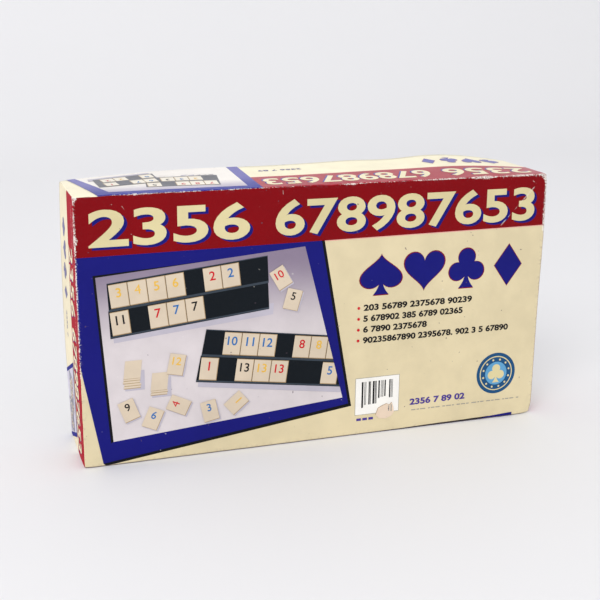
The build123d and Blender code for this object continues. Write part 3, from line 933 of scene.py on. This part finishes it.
def build_lid():
    """The lid as a folded board with an outer and an inner skin and a raw rim."""
    mesh = bmesh.new()
    skins = {0: [], INNER_SKIN: [], RAW_EDGE: [], 3: [], 4: []}
    for face, (us, vs) in GRID.items():
        for inner in (0, 1):
            lift = -BOARD if inner else 0.0
            rows = [[mesh.verts.new(wrap(face, u, v, lift)) for u in us] for v in vs]
            for low, high in zip(rows, rows[1:]):
                for a, b, c, d in zip(low, low[1:], high[1:], high):
                    corners = [a, b, c, d] if not inner else [d, c, b, a]
                    skin = INNER_SKIN if inner else OUTER_SKINS[face]
                    skins[skin].append(mesh.faces.new(corners))
            if face != "front":
                if inner:
                    for a, b, c, d in zip(outer_rim, outer_rim[1:], rows[0][1:], rows[0]):
                        skins[RAW_EDGE].append(mesh.faces.new([d, c, b, a]))
                else:
                    outer_rim = rows[0]
    for index, faces in skins.items():
        for face in faces:
            face.material_index = index
            face.smooth = True
    bmesh.ops.remove_doubles(mesh, verts=mesh.verts, dist=2e-6)
    bmesh.ops.dissolve_degenerate(mesh, edges=mesh.edges, dist=1e-6)
    data = bpy.data.meshes.new("lid_shell")
    mesh.to_mesh(data)
    mesh.free()
    for material in (INKS["cream"], board("lid_inside", linear("CFCBC2")),
                     board("lid_raw_edge", linear("B9B3A6"), 1.0), LONG_INKS["cream"],
                     END_INKS["cream"]):
        data.materials.append(material)
    lid = bpy.data.objects.new("lid_shell", data)
    bpy.context.scene.collection.objects.link(lid)
    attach(lid, "lid")
    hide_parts("lid")


# ----------------------------------------------------------------------------- the contents


def repaint(node, material):
    """Gives a CAD node its finish."""
    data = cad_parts[node].data
    data.materials.clear()
    data.materials.append(material)


TILE_PITCH = 4.45                 # mm from one tile of a stack to the next
NUMBER_HEIGHT = 13.0
NUMBER_RISE = 5.0                 # of a number's middle above the tile's middle
STAR_REACH = 6.2
CENTRED = 1e-3                    # a turn too small to see: sets a number about its middle
PAINT = 0.02                      # how far paint and print stand before what they lie on


def number_tiles(node, colour, reverse):
    """Engraved numbers on the faces of one stack, painted in."""
    low, high = box_mm(node)
    middle_x, middle_z = (low.x + high.x) / 2, (low.z + high.z) / 2
    count = round((high.y - low.y) / TILE_PITCH)
    sheet = Sheet(f"numbers_{node}", None)
    for i in range(count):
        y = low.y + i * TILE_PITCH
        sheet.place = lambda u, v, lift, y=y: Vector((u, y - PAINT, v)) * MM
        if node == "tiles_joker":
            sheet.shape("n_red" if i else "n_black", 0,
                        moved(star(), middle_x, middle_z + NUMBER_RISE, scale=STAR_REACH))
        else:
            number = str(count - i if reverse else i + 1)
            sheet.type("n_" + colour, 0, number, middle_x, middle_z + NUMBER_RISE, NUMBER_HEIGHT,
                       None, 0.008, CENTRED)
    sheet.finish(node, "tile_plastic", TILE_INKS)


def tile_ink(name, code):
    return plastic(name, linear(code), (0.35, 0.5), bump=0.02, scuffs=0.05)


TILE_INKS = {"n_yellow": tile_ink("paint_yellow", "E2A92F"),
             "n_blue": tile_ink("paint_blue", "1F63AD"),
             "n_red": tile_ink("paint_red", "C41D2A"),
             "n_black": tile_ink("paint_black", "141417")}


def print_booklet():
    """The booklet's front: band with numerals, a row of pips and ruled lines."""
    low, high = box_mm("booklet_cover")
    width, height = high.x - low.x, high.z - low.z
    sheet = Sheet("booklet_print",
                  lambda u, v, lift: Vector((low.x + u, low.y - PAINT - lift, low.z + v)) * MM)
    sheet.shape("red", 1, rectangle(2, height - 34, width - 0.5, height - 8))
    title(sheet, 8, width - 8, height - 29, 15, level=2, shadow=1.0)
    pip_row(sheet, 30, width - 30, height * 0.47, 22)
    for i in range(5):
        sheet.shape("grey", 1, rectangle(44, 26 - 3.2 * i, width - 44 - 9 * (i % 3), 27 - 3.2 * i))
    sheet.finish("booklet", "booklet_paper")


build_lid()
print_front()
for wall in ("top", "bottom", "left", "right"):
    print_wall(wall)

repaint("base_tray", board("tray_board", linear("C9C5BB"),
                           folds=(tray_high.x, tray_low.z, tray_high.z, tray_high.y, -1)))
INSERT_PLASTIC = plastic("insert_sheet", linear("8E8C88"), (0.5, 0.7), 900.0, 0.25, 0.1, 0.3)
BLACK_PLASTIC = plastic("rack_moulding", linear("16171A"), (0.22, 0.42))
HOLDER_PLASTIC = plastic("holder_moulding", linear("1B1C1F"), (0.4, 0.6), 1200.0, 0.12)
TILE_PLASTIC = plastic("tile_body", linear("EDE4CC"), (0.18, 0.34), bump=0.02, scuffs=0.08)
PAPER = board("booklet_pages_paper", linear("E9E6DD"), 0.2)
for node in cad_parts:
    if node.startswith("insert_"):
        repaint(node, INSERT_PLASTIC)
    elif node.startswith("rack_holders"):
        repaint(node, HOLDER_PLASTIC)
    elif node.startswith("rack_"):
        repaint(node, BLACK_PLASTIC)
    elif node.startswith("tiles_"):
        repaint(node, TILE_PLASTIC)
        _, colour, *run = node.split("_")
        number_tiles(node, colour, run == ["2"])
repaint("booklet_cover", board("booklet_cover_paper", linear("E6DAB0"), 0.15))
repaint("booklet_pages", PAPER)
repaint("booklet_staples", steel("staple_steel"))
print_booklet()

# ----------------------------------------------------------------------------- the studio


def studio():
    """Pale floor sweeping up to a pale wall, one broad key light and soft fill."""
    material, net, surface = new_material("studio_floor")
    surface.inputs["Roughness"].default_value = 0.6
    clouds = net.noise(net.place(), 1.2, 2.0)
    connect(net, surface, net.mix(clouds, linear("E6E6E8"), linear("E9E9EB")))
    width, near, bend, high, radius = 14.0, -8.0, 2.2, 3.2, 0.9
    profile = [(near, 0.0), (bend - radius, 0.0)]
    profile += [(bend - radius + radius * math.sin(a), radius - radius * math.cos(a))
                for a in (math.pi / 2 * i / 16 for i in range(1, 17))]
    profile += [(bend, high)]
    data = bpy.data.meshes.new("studio_sweep")
    verts = [(side * width / 2, y, z) for y, z in profile for side in (-1, 1)]
    faces = [(2 * i, 2 * i + 1, 2 * i + 3, 2 * i + 2) for i in range(len(profile) - 1)]
    data.from_pydata(verts, [], faces)
    data.materials.append(material)
    for face in data.polygons:
        face.use_smooth = True
    sweep = bpy.data.objects.new("studio_sweep", data)
    bpy.context.scene.collection.objects.link(sweep)

    world = bpy.data.worlds.new("studio")
    world.use_nodes = True
    background = world.node_tree.nodes["Background"]
    background.inputs["Color"].default_value = (0.99, 0.985, 0.99, 1)
    background.inputs["Strength"].default_value = 0.86
    bpy.context.scene.world = world

    def area(name, place, target, size, power):
        lamp = bpy.data.lights.new(name, "AREA")
        lamp.size, lamp.energy = size, power
        holder = bpy.data.objects.new(name, lamp)
        holder.location = place
        way = Vector(target) - Vector(place)
        holder.rotation_euler = way.to_track_quat("-Z", "Y").to_euler()
        bpy.context.scene.collection.objects.link(holder)

    area("key", (-2.1, -3.0, 3.3), (0, 0, 0.1), 2.5, 102)


CAMERA_PLACE = Vector((-0.27216, -0.76808, 0.33097))
CAMERA_TURN, CAMERA_DIP, CAMERA_ROLL = -19.040, 15.777, 0.593    # degrees
FOCAL_PIXELS, FRAME_PIXELS, SENSOR = 1104.7, 600, 36.0


def camera():
    lens = bpy.data.cameras.new("camera")
    lens.sensor_width = SENSOR
    lens.lens = FOCAL_PIXELS / FRAME_PIXELS * SENSOR
    holder = bpy.data.objects.new("camera", lens)
    holder.matrix_world = (Matrix.Translation(CAMERA_PLACE)
                           @ Matrix.Rotation(math.radians(CAMERA_TURN), 4, "Z")
                           @ Matrix.Rotation(math.radians(90 - CAMERA_DIP), 4, "X")
                           @ Matrix.Rotation(math.radians(CAMERA_ROLL), 4, "Z"))
    bpy.context.scene.collection.objects.link(holder)
    bpy.context.scene.camera = holder


studio()
camera()
bpy.context.scene.view_settings.view_transform = "Standard"
